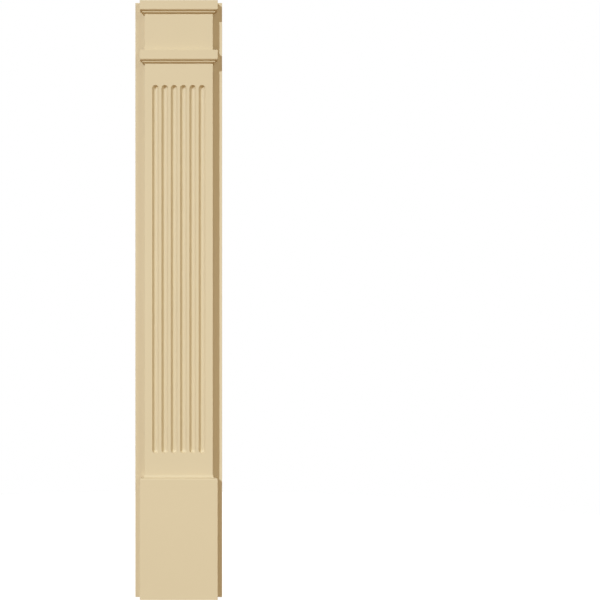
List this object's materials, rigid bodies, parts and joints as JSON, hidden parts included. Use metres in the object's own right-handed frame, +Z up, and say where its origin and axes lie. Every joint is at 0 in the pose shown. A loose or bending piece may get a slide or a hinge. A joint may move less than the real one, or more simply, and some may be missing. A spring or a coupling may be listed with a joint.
{
  "type": "fluted pilaster",
  "caption": "Tall flat pilaster for a door surround, with a plain plinth block, fluted shaft, moulded necking band, plain frieze and cap band on one back panel.",
  "frame": {"origin": "centre of the flat back, the face that goes on the wall", "axes": "+Z up along the pilaster's height, +Y into the wall, so the fluted front faces -Y; +X across the width"},
  "size_m": [0.3338, 0.0762, 2.286],
  "materials": {
    "primed_tan": "smooth satin primer over moulded polyurethane"
  },
  "bodies": {
    "root": {"pilaster": "primed_tan"}
  },
  "joints": []
}
